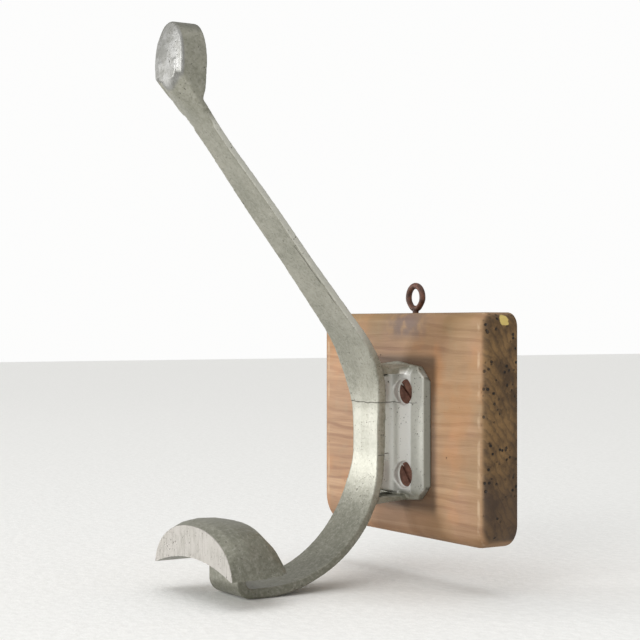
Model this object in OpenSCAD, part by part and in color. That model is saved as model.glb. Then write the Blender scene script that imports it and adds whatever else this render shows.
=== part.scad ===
// Double wall hook: one aluminium casting with a long upper arm and a saddle-ended lower arm,
// screwed to a wooden board that hangs from a wire screw eye.
// Origin: centre of the board's back face. +Z is up, +X is to the right, the hook points along -Y.

/* [Board] */
// Width of the board
board_w = 128; // [110:1:150]
// Height of the board
board_h = 100; // [90:1:120]
// Thickness of the board
board_t = 17; // [16:1:22]
// Radius worn onto the front edges
board_edge_r = 3.5; // [1:0.5:5]

/* [Flange] */
// Half width of the flange where it meets the board
flange_half_w = 25.2; // [24:0.2:28]
// Height of the flange above the middle of the board
flange_top = 28.5; // [27:0.5:30]
// Depth of the flange below the middle of the board
flange_bottom = 34.5; // [34:0.5:38]
// Thickness of the flange beside the web
flange_t = 5.6; // [5:0.1:6.5]
// Thickness of the flange at its outer edge
flange_edge_t = 3; // [2.5:0.1:3.5]

/* [Arms] */
// Distance from the board's face to the front of the arms
standoff = 18.2; // [17:0.2:20]
// Thickness of the arms at the flange
arm_t = 4.4; // [4:0.1:5]
// Thickness of the upper arm at the knob
arm_tip_t = 2.6; // [2.4:0.1:3.5]
// Lean of the upper arm from the vertical, in degrees
arm_lean = 38.8; // [37:0.2:40]
// Radius of the bend below the upper arm
upper_bend_r = 60; // [55:1:65]
// Radius of the sweep of the lower arm
lower_bend_r = 56; // [52:1:60]
// Inside radius of the curl that carries the saddle
curl_r = 2.7; // [2:0.1:4]

/* [Knob and saddle] */
// Half width of the knob
knob_half_w = 12.6; // [11:0.1:13]
// Height of the knob above its widest part
knob_half_h = 16.5; // [14.5:0.5:17]
// Thickness of the knob from front to back
knob_t = 12.6; // [10:0.1:13]
// Half width of the saddle
saddle_half_w = 34.6; // [30:0.2:36]
// Length of the saddle along its crown
saddle_len = 20.5; // [18:0.5:22]

/* [Screws] */
// Radius of a wood screw's head
head_r = 5.4; // [5:0.1:5.6]
// Length of a wood screw
screw_len = 17; // [15:0.5:19]

/* [Screw eye] */
// Radius of the eye's wire
wire_r = 1.4; // [1.2:0.1:1.6]
// Radius of the eye's ring, to the middle of the wire
ring_r = 5.3; // [4.8:0.1:6]
// Depth of the eye's shank in the board
eye_shank_len = 18; // [14:1:22]

/* [Hidden] */
$fn = 64;
eps = 0.01;
lap = 0.2;
fit_gap = 0.05;

aluminium = [0.66, 0.67, 0.64];
timber = [0.67, 0.47, 0.32];
rusty_steel = [0.38, 0.24, 0.19];

// Board: radius of each corner, seen from the front
corner_top_left = 8;
corner_top_right = 6;
corner_bottom_left = 13;
corner_bottom_right = 10;
board_front = -board_t;

// Casting: planes and centres that the arms share
front_y = board_front - standoff;
back_y = front_y + arm_t;
upper_bend_z = 5;
lower_bend_z = -9.5;
upper_bend_y = front_y - upper_bend_r;
lower_bend_y = front_y - lower_bend_r;
curl_y = -100;
curl_z = lower_bend_z - lower_bend_r + curl_r;
curl_top_z = -53;

// Knob: its centre and the line that the upper arm's front follows
knob_z = 153.5;
knob_front = -133.6;
knob_drop = 20;
knob_dome_r = 100;
throat_top = [knob_front + 0.3, 142.5];
throat_r = 8.6;
throat_lean = 48;
throat_end_z = 126;
arm_foot = [upper_bend_y + upper_bend_r * cos(arm_lean), upper_bend_z + upper_bend_r * sin(arm_lean)];
arm_tip_z = 148;
arm_tip = [arm_foot[0] - (arm_tip_z - arm_foot[1]) * tan(arm_lean), arm_tip_z];
arm_foot_t = 3.2;
lower_bend_t = 3.3;
curl_t = 4.3;

// Saddle: the crescent's height and where it lies along the hook
saddle_front = -122;
saddle_underside_z = -52.4;
saddle_under_r = 103;
saddle_floor_z = -58;
saddle_base_z = -60.9;
// Each: distance behind the front, height of the crown, share of the half width, and squareness
saddle_sections = [[0, -39.3, 1.005, 2.15], [5, -37.4, 1.01, 2.35], [10, -36.8, 1, 2.45],
                   [15, -37, 0.97, 2.5], [saddle_len, -38, 0.95, 2.6], [25, -43.5, 0.94, 2.8], [28, -50, 0.9, 2.8]];

// Half width of the arms against height, from the knob down to the start of the curl
arm_half_w = [[9, 150], [8.5, 130], [8.3, 120], [10.1, 98], [10.4, 72], [12, 47], [13.9, 28], [12.9, 19],
              [10.6, 9], [9.7, -2], [9.9, -15], [11.8, -26], [12.5, -40], [13, -80]];

// Web between the arms and the flange
web_half_w = 4;
web_top = 23;
web_bottom = -31;
web_fillet_r = 3;
upper_shelf_half_w = 12.5;
lower_shelf_half_w = 11.5;

// Flange: where its inner facet gives way to its outer one
flange_step_x = 16;
flange_step_t = 5;

// Wood screws: places, turn of each slot, and the seats in the flange
screw_x = 11;
screw_rows = [15, -21.8];
slot_turn = [39, 50, 12, -33];
screw_sink = 2;
seat_r = 6;
seat_foot_r = head_r + 2 * fit_gap;
head_rim = 0.3;
shank_r = 2.7;
shank_hole_r = 3;
core_r = 1.9;
tip_len = 3.5;
thread_pitch = 2.3;
thread_start = 6.5;
slot_w = 1.2;
slot_depth = 1.1;
head_y = board_front - flange_surface(screw_x) + screw_sink;

// Screw eye
eye_x = 1.5;
eye_y = -board_t / 2;
eye_lift = 0.4;
eye_z = board_h / 2 + eye_lift + wire_r + ring_r;
eye_core_r = 1.05;
eye_pitch = 1.6;
eye_gap = 24;

// Thickness of the flange at a distance x from the middle, on its inner facet
function flange_surface(x) = flange_t - (flange_t - flange_step_t) * x / flange_step_x;

// Points round an arc
function arc(c, r, a0, a1, n = 24) =
    [for (i = [0:n]) let (a = a0 + (a1 - a0) * i / n) [c[0] + r * cos(a), c[1] + r * sin(a)]];

// Outline of a shank with ring-shaped threads, from the foot of its smooth part to its tip
function threads(r_core, r_crest, start, end, pitch) =
    [for (z = [start:pitch:end - pitch]) each [[r_core, z], [r_crest, z + pitch * 0.45],
                                               [r_crest, z + pitch * 0.55], [r_core, z + pitch]]];

// A shape drawn in Y and Z, given a width along X
module from_side(w) {
    rotate([90, 0, 90]) linear_extrude(w, center = true) children();
}

// A shape drawn in X and Z, reaching from plane y0 forward to plane y1
module from_front(y0, y1) {
    translate([0, y0, 0]) rotate([90, 0, 0]) linear_extrude(y0 - y1) children();
}

// One corner of the board: a round corner of radius r whose front edge is rounded too
module board_corner(x, z, r, turn) {
    translate([x, 0, z]) rotate([90, turn, 0]) {
        rotate_extrude(angle = 90) {
            square([r, board_t - board_edge_r]);
            square([r - board_edge_r, board_t]);
            translate([r - board_edge_r, board_t - board_edge_r]) intersection() {
                circle(board_edge_r);
                square(board_edge_r);
            }
        }
    }
}

// One side of the board between two corners, lying along X before it is turned
module board_side(a, b, r, edge) {
    translate([a, 0, edge - r]) rotate([90, 0, 90]) linear_extrude(b - a) {
        translate([-board_t + board_edge_r, 0]) square([board_t - board_edge_r, r]);
        translate([-board_t, 0]) square([board_t, r - board_edge_r]);
        translate([-board_t + board_edge_r, r - board_edge_r]) circle(board_edge_r);
    }
}

module board_blank() {
    w = board_w / 2;
    h = board_h / 2;
    band = max(corner_top_left, corner_top_right, corner_bottom_left, corner_bottom_right);
    board_corner(w - corner_top_right, h - corner_top_right, corner_top_right, 0);
    board_corner(w - corner_bottom_right, -h + corner_bottom_right, corner_bottom_right, 90);
    board_corner(-w + corner_bottom_left, -h + corner_bottom_left, corner_bottom_left, 180);
    board_corner(-w + corner_top_left, h - corner_top_left, corner_top_left, 270);
    board_side(-w + corner_top_left, w - corner_top_right, band, h);
    rotate([0, 90, 0]) board_side(-h + corner_top_right, h - corner_bottom_right, band, w);
    rotate([0, 180, 0]) board_side(-w + corner_bottom_right, w - corner_bottom_left, band, h);
    rotate([0, 270, 0]) board_side(-h + corner_bottom_left, h - corner_top_left, band, w);
    from_front(0, -board_t) square([board_w - 2 * band + 1, board_h - 2 * band + 1], center = true);
}

module board() {
    color(timber) difference() {
        board_blank();
        for (x = [-screw_x, screw_x], z = screw_rows)
            translate([x, head_y - eps, z]) rotate([-90, 0, 0]) cylinder(r = core_r, h = screw_len - tip_len / 2);
        translate([eye_x, eye_y, board_h / 2 - eye_shank_len - 1])
            cylinder(r = wire_r + fit_gap, h = eye_shank_len + 2);
    }
}

// The arms seen from the side: places on the front, the way each faces, and the thickness there
module strap_side() {
    places = concat(
        [[arm_tip, arm_lean, arm_tip_t]],
        [for (i = [0:16]) let (a = arm_lean * (1 - i / 16))
            [[upper_bend_y, upper_bend_z] + upper_bend_r * [cos(a), sin(a)], a,
             arm_t + (arm_foot_t - arm_t) * a / arm_lean]],
        [for (i = [0:30]) let (a = -3 * i)
            [[lower_bend_y, lower_bend_z] + lower_bend_r * [cos(a), sin(a)], a,
             lookup(i, [[0, arm_t], [9, lower_bend_t], [22, lower_bend_t], [30, curl_t]])]],
        [for (i = [0:10]) let (a = -90 - 9 * i) [[curl_y, curl_z] + curl_r * [cos(a), sin(a)], a, curl_t]],
        [[[curl_y - curl_r, curl_top_z], -180, curl_t]]);
    back = [for (p = places) p[0] + p[2] * [cos(p[1]), sin(p[1])]];
    polygon(concat([for (p = places) p[0]], [for (i = [len(back) - 1:-1:0]) back[i]]));
}

module strap() {
    n = len(arm_half_w) - 1;
    intersection() {
        from_side(4 * web_half_w + 2 * knob_half_w) strap_side();
        from_front(0, knob_front) polygon(concat(
            arm_half_w, [for (i = [n:-1:0]) [-arm_half_w[i][0], arm_half_w[i][1]]]));
    }
}

// Round throat under the knob, which fades into the flat front of the arm
module throat() {
    intersection() {
        translate([0, throat_top[0], throat_top[1]]) rotate([180 + throat_lean, 0, 0])
            translate([0, -throat_r, -20]) cylinder(r = throat_r, h = 45);
        from_side(4 * throat_r) polygon([
            [knob_front, knob_z], [knob_front + 2, knob_z], arm_tip + [2, 0],
            arm_tip + [2, 0] + (throat_end_z - arm_tip_z) * [-tan(arm_lean), 1], [knob_front, throat_end_z]]);
        from_front(0, knob_front) translate([-throat_r + 0.6, 0]) square([2 * throat_r - 1.2, 2 * knob_z]);
    }
}

// Oval knob with a shallow domed face; below its middle the front runs back into the arm
module knob() {
    intersection() {
        translate([0, knob_front + knob_dome_r, knob_z - 1.5]) sphere(knob_dome_r);
        from_front(knob_front + knob_t, knob_front) translate([0, knob_z]) polygon(
            [for (i = [0:71]) [knob_half_w * cos(5 * i), (i < 36 ? knob_half_h : knob_drop) * sin(5 * i)]]);
        from_side(4 * knob_half_w) polygon([
            [knob_front, knob_z + knob_half_h + 1], [knob_front + knob_t, knob_z + knob_half_h + 1],
            [knob_front + knob_t, knob_z - knob_drop - 1],
            arm_tip + (knob_z - knob_drop - 1 - arm_tip[1]) * [-tan(arm_lean), 1],
            arm_tip + (arm_tip[0] - knob_front) * [-1, 1 / tan(arm_lean)]]);
    }
}

// Arched saddle: a crescent seen from the front, its wings reaching further back than its crown
module saddle() {
    difference() {
        hull() for (p = saddle_sections)
            from_front(saddle_front + p[0] + (p[0] > 0 ? 0 : 0.2), saddle_front + p[0] - (p[0] > 0 ? 0.2 : 0))
                saddle_arch(p[2] * saddle_half_w, p[1], p[3]);
        from_front(0, saddle_front - 1) translate([0, saddle_underside_z - saddle_under_r])
            circle(saddle_under_r, $fn = 240);
    }
}

// Half of a squared oval, cut off at the saddle's floor
module saddle_arch(half_w, crown_z, squareness) {
    rise = crown_z - saddle_base_z;
    start = asin(pow((saddle_floor_z - saddle_base_z) / rise, squareness / 2));
    n = 20;
    polygon([for (i = [0:n]) let (a = start + (180 - 2 * start) * i / n)
        [sign(cos(a)) * half_w * pow(abs(cos(a)) / cos(start), 2 / squareness),
         saddle_base_z + rise * pow(sin(a), 2 / squareness)]]);
}

// Flange outline on the board: an octagon with slightly gabled ends
module flange_outline() {
    side_top = flange_top - 2.3;
    side_bottom = -flange_bottom + 2;
    corner = 6.5;
    right = [[0, flange_top], [flange_half_w - corner, side_top], [flange_half_w, side_top - corner],
             [flange_half_w, side_bottom + corner], [flange_half_w - corner, side_bottom],
             [0, -flange_bottom]];
    polygon(concat(right, [for (i = [4:-1:1]) [-right[i][0], right[i][1]]]));
}

// Flange: thickest beside the web, with bevels all round
module flange() {
    side_bevel = 2;
    end_bevel = 6.5;
    corner_reach = flange_half_w + 8;
    intersection() {
        from_front(board_front, board_front - flange_t) flange_outline();
        translate([0, board_front, -flange_bottom]) linear_extrude(flange_top + flange_bottom) polygon([
            [-flange_half_w, 0], [flange_half_w, 0], [flange_half_w - side_bevel, -flange_edge_t],
            [flange_step_x, -flange_step_t], [0, -flange_t], [-flange_step_x, -flange_step_t],
            [-flange_half_w + side_bevel, -flange_edge_t]]);
        from_side(2 * flange_half_w) translate([board_front, 0]) polygon([
            [0, flange_top], [0, -flange_bottom], [-0.8, -flange_bottom],
            [-flange_t, -flange_bottom + end_bevel], [-flange_t, flange_top - end_bevel], [-0.8, flange_top]]);
    }
}

// Web that carries the arms, with a fillet where it meets the flange and the strap
module web() {
    foot = board_front - 1;
    root_y = board_front - flange_surface(web_half_w);
    half = [[0, foot], [web_half_w + web_fillet_r, foot], [web_half_w + web_fillet_r, root_y]];
    flank = concat(half,
        arc([web_half_w + web_fillet_r, root_y - web_fillet_r], web_fillet_r, 90, 180, 8),
        [[web_half_w, back_y + web_fillet_r / 2], [web_half_w + web_fillet_r / 2, back_y],
         [web_half_w, front_y + 1], [0, front_y + 1]]);
    intersection() {
        translate([0, 0, web_bottom]) linear_extrude(web_top - web_bottom) {
            polygon(flank);
            mirror([1, 0]) polygon(flank);
        }
        from_side(6 * web_half_w) polygon(concat(
            [[foot, web_top], [foot, web_bottom]],
            arc([lower_bend_y, lower_bend_z], lower_bend_r + arm_t / 2, -18, 0),
            arc([upper_bend_y, upper_bend_z], upper_bend_r + arm_t / 2, 0, 15)));
    }
}

// Shelves that close the top and the bottom of the hollow beside the web, and run into the arms
module shelves() {
    foot = board_front - 1;
    reach = 1.6;
    top_turn = asin((flange_top - upper_bend_z) / (upper_bend_r + reach));
    foot_turn = asin((-flange_bottom - lower_bend_z) / (lower_bend_r + reach));
    from_side(2 * upper_shelf_half_w) polygon(concat(
        [[foot, web_top], [foot, flange_top - 1.5], [back_y + 2, flange_top - 3]],
        [for (p = arc([upper_bend_y, upper_bend_z], upper_bend_r + reach, top_turn, top_turn / 2, 8))
            if (p[1] > web_top) p],
        [[back_y - 2, web_top]]));
    from_side(2 * lower_shelf_half_w) polygon(concat(
        [[foot, web_bottom], [foot, 1.5 - flange_bottom], [back_y + 2, 1 - flange_bottom]],
        [for (p = arc([lower_bend_y, lower_bend_z], lower_bend_r + reach, foot_turn, foot_turn / 2, 8))
            if (p[1] < web_bottom) p],
        [[back_y - 2, web_bottom]]));
}

// Countersunk seat and shank hole for one wood screw
module screw_seat() {
    rotate([-90, 0, 0]) {
        translate([0, 0, -2 * screw_sink - 2]) cylinder(r = seat_r, h = 2 * screw_sink + 2 - fit_gap);
        translate([0, 0, -2 * fit_gap]) cylinder(r = seat_foot_r, h = head_rim + 4 * fit_gap + eps);
        translate([0, 0, head_rim + 2 * fit_gap]) cylinder(r1 = seat_foot_r, r2 = shank_hole_r,
            h = seat_foot_r - shank_hole_r);
        cylinder(r = shank_hole_r, h = screw_len);
    }
}

module hook_casting() {
    color(aluminium) difference() {
        union() {
            strap();
            knob();
            throat();
            saddle();
            flange();
            web();
            shelves();
        }
        for (x = [-screw_x, screw_x], z = screw_rows) translate([x, head_y, z]) screw_seat();
    }
}

// Slotted countersunk wood screw, head at the origin, pointing along +Y
module wood_screw(turn) {
    rows = threads(core_r, shank_r, thread_start, screw_len - tip_len, thread_pitch);
    last = rows[len(rows) - 1];
    color(rusty_steel) rotate([-90, turn, 0]) difference() {
        rotate_extrude() polygon(concat(
            [[0, 0], [head_r, 0], [head_r, head_rim], [shank_r, head_r - shank_r + head_rim],
             [shank_r, thread_start - 0.8], [core_r, thread_start]], rows, [[last[0], last[1]], [0, screw_len]]));
        translate([0, 0, slot_depth / 2 - eps]) cube([3 * head_r, slot_w, slot_depth], center = true);
    }
}

module screw_at(column, row, turn) {
    translate([column * screw_x, head_y, screw_rows[row]]) wood_screw(turn);
}

// Wire screw eye: a ring bent from the shank, its end stopping short of it
module screw_eye() {
    foot = board_h / 2 - eye_shank_len;
    rows = threads(eye_core_r, wire_r, 3, eye_shank_len - 3, eye_pitch);
    color(rusty_steel) translate([eye_x, eye_y, 0]) {
        translate([0, 0, eye_z]) rotate([90, -90, 0]) rotate_extrude(angle = 360 - eye_gap, $fn = 96)
            translate([ring_r, 0]) circle(wire_r, $fn = 40);
        translate([0, 0, foot]) rotate_extrude() polygon(concat(
            [[0, 0], [eye_core_r, 3]], rows, [[eye_core_r, eye_shank_len - 2], [wire_r, eye_shank_len - 1],
             [wire_r, eye_shank_len + eye_lift + wire_r], [0, eye_shank_len + eye_lift + wire_r]]));
    }
}

board();
hook_casting();
screw_at(1, 0, slot_turn[0]);  // screw_upper_right
screw_at(1, 1, slot_turn[1]);  // screw_lower_right
screw_at(-1, 0, slot_turn[2]);  // screw_upper_left
screw_at(-1, 1, slot_turn[3]);  // screw_lower_left
screw_eye();
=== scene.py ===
"""Double wall hook on its board: aluminium casting, worn board and rusty eye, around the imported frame."""

import math

import bpy
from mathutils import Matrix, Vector


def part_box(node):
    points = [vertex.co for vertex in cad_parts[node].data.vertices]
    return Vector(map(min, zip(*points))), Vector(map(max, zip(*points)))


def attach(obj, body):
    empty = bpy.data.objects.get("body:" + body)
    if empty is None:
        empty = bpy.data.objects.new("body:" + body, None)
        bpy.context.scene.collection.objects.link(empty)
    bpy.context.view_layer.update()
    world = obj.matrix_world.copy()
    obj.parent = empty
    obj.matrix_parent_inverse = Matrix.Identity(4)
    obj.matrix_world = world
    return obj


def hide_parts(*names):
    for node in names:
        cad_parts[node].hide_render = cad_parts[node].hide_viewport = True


MM = 0.001

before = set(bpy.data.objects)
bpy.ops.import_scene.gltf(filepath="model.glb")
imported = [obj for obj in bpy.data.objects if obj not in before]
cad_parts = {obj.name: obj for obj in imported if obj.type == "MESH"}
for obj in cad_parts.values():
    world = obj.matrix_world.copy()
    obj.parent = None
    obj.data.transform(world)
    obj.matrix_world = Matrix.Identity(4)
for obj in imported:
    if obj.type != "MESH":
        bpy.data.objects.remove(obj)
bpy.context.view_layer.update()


# ---------------------------------------------------------------- camera, floor and light

def aim(thing, target):
    """Turns a camera or a light to look at a place."""
    direction = Vector(target) - thing.location
    thing.rotation_euler = direction.to_track_quat("-Z", "Y").to_euler()


def set_up_camera():
    turn, lift = math.radians(58), math.radians(0.185)
    right, back, up = 576.07, -418.76, 44.6
    bpy.ops.object.camera_add(
        location=(right * MM, back * MM, up * MM),
        rotation=(math.radians(90) + lift, 0, turn),
    )
    camera = bpy.context.object
    camera.data.lens = 87.24
    camera.data.sensor_width = 36
    camera.data.clip_start, camera.data.clip_end = 0.01, 20
    bpy.context.scene.camera = camera


def soft_light(name, place, target, size, watts, colour):
    bpy.ops.object.light_add(type="AREA", location=place)
    light = bpy.context.object
    light.name = name
    light.data.shape = "RECTANGLE"
    light.data.size, light.data.size_y = size
    light.data.energy = watts
    light.data.color = colour
    aim(light, target)


def sun_from(place, strength, spread):
    bpy.ops.object.light_add(type="SUN", location=place)
    sun = bpy.context.object
    sun.data.energy, sun.data.angle = strength, math.radians(spread)
    aim(sun, (0, 0, 0))


def set_up_studio():
    world = bpy.data.worlds.new("pale_room")
    bpy.context.scene.world = world
    world.use_nodes = True
    nodes, links = world.node_tree.nodes, world.node_tree.links
    nodes.clear()
    seen = nodes.new("ShaderNodeBackground")
    around = nodes.new("ShaderNodeBackground")
    mixed = nodes.new("ShaderNodeMixShader")
    out = nodes.new("ShaderNodeOutputWorld")
    seen.inputs["Color"].default_value = (1, 1, 0.995, 1)
    seen.inputs["Strength"].default_value = 0.98
    around.inputs["Color"].default_value = (1, 0.995, 0.97, 1)
    around.inputs["Strength"].default_value = 0.54
    path = nodes.new("ShaderNodeLightPath")
    links.new(path.outputs["Is Camera Ray"], mixed.inputs[0])
    links.new(around.outputs[0], mixed.inputs[1])
    links.new(seen.outputs[0], mixed.inputs[2])
    links.new(mixed.outputs[0], out.inputs[0])
    middle = (0, -60 * MM, 40 * MM)
    soft_light("window", (-1.35, -0.85, 0.02), middle, (0.8, 0.36), 2.6, (1, 0.995, 0.965))
    soft_light("fill", (0.62, -1.25, 0.5), middle, (0.8, 0.8), 7, (1, 0.995, 0.98))
    sun_from((-0.62, -0.75, 0.12), 1.35, 12)
    sun_from((0, -0.1, 1), 0.8, 60)
    bpy.context.scene.view_settings.view_transform = "Standard"


def lay_floor():
    bpy.ops.mesh.primitive_plane_add(size=8, location=(0, 0, -70 * MM))
    floor = bpy.context.object
    floor.name = "floor"
    bpy.ops.object.transform_apply(location=True, rotation=True, scale=True)
    return floor


# ---------------------------------------------------------------- shader maths

class Wire:
    """One value in a material. Sums on it add the nodes that work them out."""

    def __init__(self, tree, socket):
        self.tree, self.socket = tree, socket

    def node(self, kind, settings=None, **values):
        """A node of a kind, its settings made first, then its sockets' values or links."""
        made = self.tree.nodes.new(kind)
        for name, value in (settings or {}).items():
            if name == "stops":
                ramp = made.color_ramp
                while len(ramp.elements) < len(value):
                    ramp.elements.new(1)
                for stop, (at, colour) in zip(ramp.elements, value):
                    stop.position, stop.color = at, (*colour, 1)
            else:
                setattr(made, name, value)
        for name, value in values.items():
            by_number = name[0] == "i" and name[1:].isdigit()
            socket = made.inputs[int(name[1:]) if by_number else name]
            if isinstance(value, Wire):
                self.tree.links.new(value.socket, socket)
            else:
                socket.default_value = value
        return made

    def math(self, operation, *values, clamp=False):
        made = self.node("ShaderNodeMath", {"operation": operation, "use_clamp": clamp},
                         **{f"i{i}": v for i, v in enumerate((self, *values))})
        return Wire(self.tree, made.outputs[0])

    def __add__(self, other):
        return self.math("ADD", other)

    def __mul__(self, other):
        return self.math("MULTIPLY", other)

    def __sub__(self, other):
        return self.math("SUBTRACT", other)

    def __rsub__(self, other):
        return (self * -1) + other

    def __abs__(self):
        return self.math("ABSOLUTE")

    __radd__, __rmul__ = __add__, __mul__

    def rise(self, low, high):
        """0 below low, 1 above high, smooth between; low above high turns it round."""
        made = self.node("ShaderNodeMapRange", {"interpolation_type": "SMOOTHSTEP"},
                         Value=self, **{"From Min": low, "From Max": high})
        return Wire(self.tree, made.outputs["Result"])

    def top(self, other):
        return self.math("MAXIMUM", other)


class Finish:
    """A material being made: its coordinates, its patterns and its surface."""

    def __init__(self, name, metallic=0.0, **fixed):
        self.material = bpy.data.materials.new(name)
        self.material.use_nodes = True
        self.tree = self.material.node_tree
        self.surface = self.tree.nodes["Principled BSDF"]
        self.surface.inputs["Metallic"].default_value = metallic
        for key, value in fixed.items():
            self.surface.inputs[key.replace("_", " ")].default_value = value
        place = self.tree.nodes.new("ShaderNodeTexCoord")
        self.place = Wire(self.tree, place.outputs["Object"])
        split = self.place.node("ShaderNodeSeparateXYZ", Vector=self.place)
        self.x, self.y, self.z = (Wire(self.tree, split.outputs[i]) for i in range(3))

    def stretched(self, x, y, z):
        made = self.place.node("ShaderNodeMapping", Vector=self.place, Scale=(x, y, z))
        return Wire(self.tree, made.outputs[0])

    def noise(self, scale, detail=3, roughness=0.5, warp=0.0, where=None):
        made = self.place.node("ShaderNodeTexNoise", Vector=where or self.place, Scale=scale, Detail=detail,
                               Roughness=roughness, Distortion=warp)
        return Wire(self.tree, made.outputs["Fac"])

    def cells(self, scale):
        made = self.place.node("ShaderNodeTexVoronoi", Vector=self.place, Scale=scale)
        return Wire(self.tree, made.outputs["Distance"])

    def mix(self, mask, under, over):
        """The colour under, with the colour over where the mask is 1."""
        values = {"i0": mask}
        for i, colour in ((6, under), (7, over)):
            values[f"i{i}"] = colour if isinstance(colour, Wire) else (*colour, 1)
        made = self.place.node("ShaderNodeMix", {"data_type": "RGBA"}, **values)
        return Wire(self.tree, made.outputs[2])

    def faces(self, axis):
        """How far the true surface faces along an axis, from -1 to 1."""
        shape = self.tree.nodes.new("ShaderNodeNewGeometry")
        split = self.place.node("ShaderNodeSeparateXYZ", Vector=Wire(self.tree, shape.outputs["Normal"]))
        return Wire(self.tree, split.outputs["XYZ".index(axis)])

    def wear(self, colour, roughness, height=None, depth=0.0, metallic=None):
        self.tree.links.new(colour.socket, self.surface.inputs["Base Color"])
        if isinstance(roughness, Wire):
            self.tree.links.new(roughness.socket, self.surface.inputs["Roughness"])
        else:
            self.surface.inputs["Roughness"].default_value = roughness
        if metallic is not None:
            self.tree.links.new(metallic.socket, self.surface.inputs["Metallic"])
        if height is not None:
            bump = self.place.node("ShaderNodeBump", Height=height, Distance=depth, Strength=1.0)
            self.tree.links.new(bump.outputs[0], self.surface.inputs["Normal"])
        return self.material


# ---------------------------------------------------------------- finishes

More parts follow.
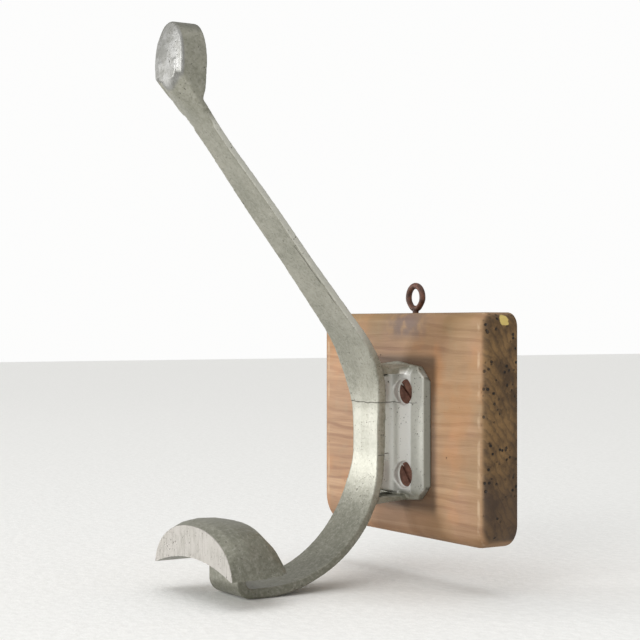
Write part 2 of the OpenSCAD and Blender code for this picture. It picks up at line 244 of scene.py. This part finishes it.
def cast_aluminium():
    f = Finish("cast_aluminium", metallic=0.45)
    blotches = f.noise(60, 4, 0.62)
    clouds = f.noise(170, 5, 0.7)
    grain = f.noise(760, 4, 0.65)
    fine = f.noise(2600, 2, 0.5)
    pits = f.cells(400).rise(0.17, 0.07) * f.noise(120, 2).rise(0.45, 0.6)
    specks = f.cells(860).rise(0.22, 0.09) * f.noise(230, 2).rise(0.46, 0.62)
    spots = f.cells(150).rise(0.085, 0.05) * f.noise(40, 1).rise(0.45, 0.55)

    wander = (f.noise(260, 2) - 0.5) * (1.6 * MM)
    upper_crack = abs(f.z + wander - 10.2 * MM).rise(0.24 * MM, 0.08 * MM) * f.y.rise(-20.5 * MM, -22 * MM)
    lower_crack = (abs(f.z + wander + 12.8 * MM).rise(0.26 * MM, 0.1 * MM) * f.x.rise(3 * MM, 4 * MM)
                   * f.y.rise(-35 * MM, -34.2 * MM) * f.y.rise(-24.5 * MM, -26 * MM))
    along = f.x + f.z * 0.064 - (13.9 * MM)
    scratch = (abs(along + wander * 0.5).rise(0.5 * MM, 0.2 * MM) * f.z.rise(50 * MM, 56 * MM)
               * f.z.rise(86 * MM, 78 * MM) * f.noise(210, 2).rise(0.36, 0.5) * f.x.rise(0, 1 * MM))

    metal = f.mix(blotches.rise(0.36, 0.64), (0.265, 0.262, 0.21), (0.34, 0.332, 0.275))
    metal = f.mix(clouds.rise(0.5, 0.68) * 0.32, metal, (0.15, 0.148, 0.11))
    # painted shade: the metal made darker towards the bottom, over the lower arm and under the saddle
    metal = f.mix(f.z.rise(-2 * MM, -30 * MM) * 0.25, metal, (0.13, 0.13, 0.095))
    metal = f.mix(f.z.rise(-26 * MM, -52 * MM) * 0.5, metal, (0.12, 0.12, 0.088))
    metal = f.mix(f.noise(430, 4, 0.7).rise(0.46, 0.66) * 0.24, metal, (0.46, 0.45, 0.4))
    metal = f.mix(f.noise(620, 4, 0.7).rise(0.48, 0.66) * 0.42, metal, (0.13, 0.128, 0.095))
    metal = f.mix(grain.rise(0.46, 0.68) * 0.22, metal, (0.5, 0.49, 0.44))

    side = abs(f.x)
    # painted light: the flange's hollow made lighter and its flat face nearly white, standing in for light
    # falling there
    lit_hollow = side.rise(6.2 * MM, 8 * MM) * f.y.rise(-26 * MM, -24.5 * MM) * f.z.rise(-31 * MM, -27 * MM)
    lit_hollow = lit_hollow * f.z.rise(26 * MM, 22 * MM)
    face = lit_hollow * side.rise(17 * MM, 15.8 * MM)
    metal = f.mix(lit_hollow * 0.5, metal, (0.66, 0.66, 0.62))
    metal = f.mix(face * 0.88, metal, (0.97, 0.97, 0.95))
    # painted highlight along the cove between the web and the flange
    cove_highlight = side.rise(3 * MM, 3.6 * MM) * side.rise(9 * MM, 7.6 * MM) * f.z.rise(-31 * MM, -29 * MM)
    cove_highlight = cove_highlight * f.z.rise(24 * MM, 22.5 * MM) * f.y.rise(-36 * MM, -32 * MM)
    metal = f.mix(cove_highlight * 0.75, metal, (0.8, 0.8, 0.76))
    # painted highlight on the front of the strap's upright part
    strap_highlight = f.y.rise(-32.8 * MM, -34.2 * MM) * f.z.rise(-38 * MM, -15 * MM) * f.z.rise(22 * MM, 2 * MM)
    metal = f.mix(strap_highlight * 0.3, metal, (0.6, 0.595, 0.53))
    # painted shade on the flange's outer sides
    outer_edge_shade = side.rise(22.9 * MM, 23.6 * MM) * f.z.rise(-36 * MM, -35 * MM)
    metal = f.mix(outer_edge_shade * 0.75, metal, (0.12, 0.115, 0.085))
    # painted light on the side faces of the upper arm
    lit_flank = abs(f.faces("X")).rise(0.5, 0.85) * f.z.rise(30 * MM, 46 * MM) * f.z.rise(133 * MM, 127 * MM)
    metal = f.mix(lit_flank * 0.7, metal, (0.66, 0.655, 0.59))
    # painted shade: the knob face made darker than the rest of the metal, with lighter worn streaks over it
    knob = f.y.rise(-131 * MM, -132.4 * MM) * f.z.rise(126 * MM, 140 * MM)
    metal = f.mix(knob * 0.7, metal, (0.17, 0.17, 0.17))
    metal = f.mix(knob * clouds.rise(0.42, 0.6) * 0.35, metal, (0.46, 0.46, 0.46))
    # painted shade and dark reflection on the top of the knob
    crown_shade = f.z.rise(163 * MM, 168.5 * MM) * f.y.rise(-133 * MM, -131.5 * MM)
    metal = f.mix(crown_shade * 0.7, metal, (0.1, 0.1, 0.08))

    ground = f.y.rise(-121.3 * MM, -121.6 * MM) * f.z.rise(-10 * MM, -20 * MM)
    scores = f.noise(1, 4, 0.7, where=f.stretched(1300, 300, 170)).rise(0.46, 0.7)
    worn = f.noise(110, 4, 0.6).rise(0.42, 0.62)
    metal = f.mix(ground * 0.85, metal, (0.45, 0.425, 0.4))
    metal = f.mix(ground * worn * 0.5, metal, (0.36, 0.345, 0.31))
    metal = f.mix(ground * scores * 0.6, metal, (0.25, 0.235, 0.2))
    marks = pits.top(specks).top(spots).top(upper_crack).top(lower_crack).top(scratch)
    metal = f.mix(marks * 0.8, metal, (0.07, 0.066, 0.05))
    rough = blotches * 0.12 + 0.3 + grain * 0.12 + marks * 0.3 + ground * 0.1
    height = grain * 0.45 + fine * 0.25 + clouds * 0.5 - marks * 1.4 - ground * scores * 0.4
    return f.wear(metal, rough, height, 0.16 * MM, metallic=0.45 - marks * 0.4)


def worn_wood():
    f = Finish("worn_wood", Specular_IOR_Level=0.3)
    bend = f.noise(1, 3, 0.5, where=f.stretched(8, 30, 24))
    rings = f.noise(1, 3, 0.55, warp=0.6, where=f.stretched(7, 45, 230))
    lines = (f.z * 1000 + bend * 26).math("MULTIPLY", 1.16).math("SINE")
    late = lines.rise(0.35, 0.97) * f.noise(1, 2, 0.5, where=f.stretched(12, 30, 60)).rise(0.3, 0.6)
    fibre = f.noise(1, 4, 0.65, where=f.stretched(60, 900, 1500))
    threads = f.noise(1, 4, 0.7, where=f.stretched(26, 500, 700))
    wood = f.mix(rings.rise(0.4, 0.72), (0.375, 0.222, 0.128), (0.49, 0.31, 0.188))
    wood = f.mix(late * 0.6, wood, (0.235, 0.12, 0.07))
    wood = f.mix(threads.rise(0.5, 0.72) * 0.5, wood, (0.3, 0.17, 0.1))
    wood = f.mix(fibre.rise(0.45, 0.75) * 0.3, wood, (0.24, 0.145, 0.09))
    patches = f.noise(30, 3, 0.6)
    wood = f.mix(patches.rise(0.46, 0.66) * 0.6, wood, (0.52, 0.245, 0.105))
    wood = f.mix(f.noise(44, 4, 0.6).rise(0.54, 0.7) * 0.3, wood, (0.36, 0.3, 0.2))

    edge = f.y.rise(-14.6 * MM, -12.6 * MM)
    front = f.y.rise(-11 * MM, -15 * MM)
    right = f.x.rise(10 * MM, 46 * MM)
    olive = (f.z.rise(22 * MM, 47 * MM) * 0.7).top(right * 0.55) * f.noise(40, 3).rise(0.28, 0.58)
    wood = f.mix(olive * 0.7, wood, (0.25, 0.165, 0.06))
    # painted shade: darker towards the bottom and the right of the board
    foot_shade = f.z.rise(-34 * MM, -47 * MM).top(right * 0.4) * f.noise(50, 3).rise(0.25, 0.6)
    wood = f.mix(foot_shade * 0.55, wood, (0.19, 0.1, 0.045))
    # painted shadow round the flange on the board's front
    flange_shadow = (abs(f.x).rise(31 * MM, 26 * MM)) * f.z.rise(-41 * MM, -35.5 * MM) * f.z.rise(33 * MM, 29 * MM)
    wood = f.mix(flange_shadow * front * 0.75, wood, (0.06, 0.036, 0.022))
    stain = (abs(f.x - 6 * MM).rise(24 * MM, 3 * MM) * abs(f.z - 45 * MM).rise(9 * MM, 2 * MM)
             * f.noise(110, 4).rise(0.34, 0.56) * front)
    wood = f.mix(stain * 0.8, wood, (0.15, 0.105, 0.095))
    rim = (abs(f.x).rise(56 * MM, 62.5 * MM)).top(abs(f.z).rise(45 * MM, 49.5 * MM))
    wood = f.mix(rim * edge.rise(0, 0.8) * 0.45, wood, (0.2, 0.12, 0.055))

    # lighter along the board's side arrises: worn wood and a painted highlight
    arris = abs(abs(f.x) - 58.8 * MM).rise(1.3 * MM, 0.3 * MM) * edge.rise(0.6, 0.1)
    arris = arris * f.noise(150, 3).rise(0.4, 0.6)
    wood = f.mix(arris * 0.4, wood, (0.62, 0.47, 0.32))

    end = abs(f.x).rise(60 * MM, 62.4 * MM)
    growth = f.noise(1, 4, 0.65, where=f.stretched(40, 130, 95))
    arcs = ((f.z * 620 + f.y * 900) + growth * 9).math("MULTIPLY", 1.9).math("SINE")
    end_colour = f.mix(growth.rise(0.32, 0.68), (0.07, 0.04, 0.018), (0.215, 0.125, 0.05))
    end_colour = f.mix(arcs.rise(0.2, 1) * 0.4, end_colour, (0.05, 0.032, 0.018))
    end_colour = f.mix(f.z.rise(-12 * MM, -32 * MM) * 0.6, end_colour, (0.055, 0.035, 0.025))
    wood = f.mix(end, wood, end_colour)
    fleck = (((f.y + 7 * MM) * (f.y + 7 * MM) + (f.z - 46.6 * MM) * (f.z - 46.6 * MM)) * 1e6
             + f.noise(600, 3) * 9).rise(11.5, 8.5) * end * f.x.rise(0, 1 * MM)
    wood = f.mix(fleck, wood, (0.6, 0.46, 0.15))
    holes = f.cells(380).rise(0.3, 0.17) * f.noise(75, 3).rise(0.45, 0.55) * end * (1 - fleck)
    flat_holes = f.cells(210).rise(0.1, 0.05) * f.noise(60, 2).rise(0.56, 0.66) * (1 - end) * 0.7
    bores = holes.top(flat_holes)
    wood = f.mix(bores, wood, (0.015, 0.011, 0.008))
    height = fibre * 0.35 + threads * 0.3 - late * 0.25 + rings * 0.2 - bores * 2.5
    return f.wear(wood, 0.5 + fibre * 0.2, height, 0.24 * MM)


def rust(name, deep, high, metallic=0.35):
    f = Finish(name, metallic=metallic)
    scale = f.noise(420, 4, 0.65)
    crumbs = f.noise(1500, 3, 0.6)
    colour = f.mix(scale.rise(0.35, 0.68), deep, high)
    colour = f.mix(crumbs.rise(0.5, 0.8) * 0.4, colour, (0.06, 0.03, 0.02))
    return f.wear(colour, 0.5 + scale * 0.2, scale * 0.6 + crumbs * 0.6, 0.12 * MM)


def paper_white():
    f = Finish("paper_white", Specular_IOR_Level=0.1)
    tooth = f.noise(260, 4, 0.6)
    colour = f.mix(tooth.rise(0.3, 0.75), (0.89, 0.89, 0.88), (0.95, 0.95, 0.94))
    return f.wear(colour, 0.9, tooth, 0.35 * MM)


# ---------------------------------------------------------------- shaping

def leave_alone():
    if bpy.context.object and bpy.context.object.mode != "OBJECT":
        bpy.ops.object.mode_set(mode="OBJECT")
    bpy.ops.object.select_all(action="DESELECT")


def pick(*things):
    leave_alone()
    for thing in things:
        thing.select_set(True)
    bpy.context.view_layer.objects.active = things[-1]


def choose(thing, kind, test):
    """Selects the vertices, edges or faces of a mesh that pass a test, and goes to edit mode."""
    pick(thing)
    bpy.ops.object.mode_set(mode="EDIT")
    bpy.ops.mesh.select_mode(type={"vertices": "VERT", "edges": "EDGE", "polygons": "FACE"}[kind])
    bpy.ops.mesh.select_all(action="DESELECT")
    bpy.ops.object.mode_set(mode="OBJECT")
    points = thing.data.vertices
    for part in getattr(thing.data, kind):
        if kind == "vertices":
            part.select = test(part.co / MM)
        elif kind == "edges":
            part.select = test(*(points[i].co / MM for i in part.vertices))
        else:
            part.select = test(part.center / MM, part.normal)
    bpy.ops.object.mode_set(mode="EDIT")


def bake(thing, kind, **settings):
    """Adds a modifier and applies it."""
    pick(thing)
    made = thing.modifiers.new(kind.lower(), kind)
    for name, value in settings.items():
        setattr(made, name, value)
    bpy.ops.object.modifier_apply(modifier=made.name)


def finish_piece(thing, name, body, material, slot, *nodes, sharp=30):
    pick(thing)
    bpy.ops.object.transform_apply(location=True, rotation=True, scale=True)
    thing.name = thing.data.name = name
    thing.data.materials.clear()
    thing.data.materials.append(material)
    bpy.ops.object.shade_smooth_by_angle(angle=math.radians(sharp))
    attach(thing, body)
    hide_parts(*nodes)
    leave_alone()


def copy_of(node, name):
    """A welded copy of a CAD node, free to be finished."""
    pick(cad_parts[node])
    bpy.ops.object.duplicate()
    thing = bpy.context.object
    thing.parent = None
    for key in [k for k in thing.keys() if k.startswith("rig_")]:
        del thing[key]
    thing.name = name
    bpy.ops.object.mode_set(mode="EDIT")
    bpy.ops.mesh.select_all(action="SELECT")
    bpy.ops.mesh.remove_doubles(threshold=0.002 * MM)
    bpy.ops.object.mode_set(mode="OBJECT")
    return thing


def cast_hook(material):
    """The whole casting, its arrises softened, its throat swelled and its saddle ground flat in front."""
    throat_low, throat_high, throat_back = 124, 152, -108
    saddle_cut_y = -121.7
    hook = copy_of("hook_casting", "cast_hook")
    bake(hook, "REMESH", mode="VOXEL", voxel_size=0.46 * MM, use_smooth_shade=True)
    bake(hook, "SMOOTH", factor=0.5, iterations=3)
    for point in hook.data.vertices:
        x, y, z = point.co / MM
        if throat_low < z < throat_high and y < throat_back:
            swell = math.sin(math.pi * (z - throat_low) / (throat_high - throat_low)) ** 2
            swell = swell * max(0.0, 1 - (abs(x) / 12.2) ** 6)
            point.co.x += 0.2 * swell * x * MM
            point.co.y -= 0.9 * swell * max(0.0, 1 - (z - throat_low) / 22) * max(0.0, 1 - (x / 11) ** 2) * MM
    flow = hook.vertex_groups.new(name="throat")
    flow.add([p.index for p in hook.data.vertices if 127 < p.co.z / MM < 146 and p.normal.y < -0.15
              and abs(p.co.x) / MM < 9.6 and p.co.y / MM < -104], 1, "REPLACE")
    bake(hook, "SMOOTH", factor=0.5, iterations=320, vertex_group="throat")
    bake(hook, "DECIMATE", ratio=0.54)
    choose(hook, "vertices", lambda p: p.z < -30 and p.y < -100)
    bpy.ops.mesh.bisect(plane_co=(0, saddle_cut_y * MM, 0), plane_no=(0, -1, 0), use_fill=True,
                        clear_outer=True, threshold=0.001 * MM)
    finish_piece(hook, "cast_hook", "hook_on_board", material, "casting", "hook_casting", sharp=48)
    for face in hook.data.polygons:
        if face.center.y < -121.6 * MM and face.center.z < 0:
            face.use_smooth = False
    bake(hook, "WEIGHTED_NORMAL", mode="FACE_AREA", weight=80, keep_sharp=True)


def worn_board(material):
    low, high = (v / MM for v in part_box("board"))
    bpy.ops.mesh.primitive_cube_add(size=1, location=(low + high) / 2 * MM, scale=(high - low) * MM)
    board = bpy.context.object
    bpy.ops.object.transform_apply(location=True, rotation=True, scale=True)
    corners = {(-1, 1): 8, (1, 1): 6, (-1, -1): 13, (1, -1): 10}
    for (side, end), radius in corners.items():
        choose(board, "edges", lambda a, b: abs(a.y - b.y) > 10 and a.x * side > 50 and a.z * end > 40)
        bpy.ops.mesh.bevel(offset=radius * MM, segments=10, profile=0.5, affect="EDGES")
    choose(board, "edges", lambda a, b: a.y < low.y + 0.01 and b.y < low.y + 0.01)
    bpy.ops.mesh.bevel(offset=4.6 * MM, segments=8, profile=0.5, affect="EDGES")
    choose(board, "edges", lambda a, b: a.y > high.y - 0.01 and b.y > high.y - 0.01)
    bpy.ops.mesh.bevel(offset=0.8 * MM, segments=3, profile=0.5, affect="EDGES")
    bpy.ops.object.mode_set(mode="OBJECT")
    finish_piece(board, "worn_board", "hook_on_board", material, "timber", "board", sharp=40)


def rusty_eye(material):
    """The ring, pinched in over its shank, and the shank down into the board."""
    low, high = (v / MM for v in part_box("screw_eye"))
    x, y, wire = (low.x + high.x) / 2, (low.y + high.y) / 2, 1.4
    shank_top, tip_len = 54, 3
    ring_r = (high.x - low.x) / 2 - wire
    ring_z = high.z - wire - ring_r
    bpy.ops.mesh.primitive_torus_add(location=Vector((x, y, ring_z)) * MM, rotation=(math.radians(90), 0, 0),
                                     major_radius=ring_r * MM, minor_radius=wire * MM,
                                     major_segments=96, minor_segments=28)
    eye = bpy.context.object
    bpy.ops.object.transform_apply(location=True, rotation=True, scale=True)
    for point in eye.data.vertices:
        px, py, pz = point.co / MM
        low_down = max(0.0, (ring_z - 1.5 - pz) / (ring_r + wire - 1.5))
        point.co.x = (x + (px - x) * (1 - 0.34 * low_down)) * MM
        point.co.y = (py + 0.35 * low_down * (1 if px > x else -1)) * MM
        point.co.z = (pz + 0.5 * low_down * (1 - min(1, abs(px - x) / 3))) * MM
    bpy.ops.mesh.primitive_cylinder_add(
        vertices=40, radius=wire * MM, depth=(shank_top - low.z - tip_len) * MM,
        location=Vector((x, y, (shank_top + low.z + tip_len) / 2 - 1.2)) * MM)
    shank = bpy.context.object
    bpy.ops.object.transform_apply(location=True, rotation=True, scale=True)
    choose(shank, "polygons", lambda c, n: n.z < -0.9)
    bpy.ops.mesh.extrude_region_move(TRANSFORM_OT_translate={"value": (0, 0, -1.5 * MM)})
    bpy.ops.transform.resize(value=(0.3, 0.3, 1))
    pick(shank, eye)
    bpy.ops.object.join()
    bake(eye, "REMESH", mode="VOXEL", voxel_size=0.22 * MM, use_smooth_shade=True)
    bake(eye, "SMOOTH", factor=0.5, iterations=4)
    finish_piece(eye, "rusty_eye", "eye", material, "eye", "screw_eye", sharp=60)


# ---------------------------------------------------------------- the work

set_up_camera()
set_up_studio()
lay_floor().data.materials.append(paper_white())

metal, wood = cast_aluminium(), worn_wood()
screw_rust = rust("rusty_screw", (0.13, 0.055, 0.038), (0.26, 0.125, 0.09))
eye_rust = rust("rusty_wire", (0.055, 0.026, 0.018), (0.16, 0.065, 0.04), metallic=0.2)

cast_hook(metal)
worn_board(wood)
rusty_eye(eye_rust)
for node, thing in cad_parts.items():
    if node.startswith("screw_") and node != "screw_eye":
        thing.data.materials.clear()
        thing.data.materials.append(screw_rust)

leave_alone()
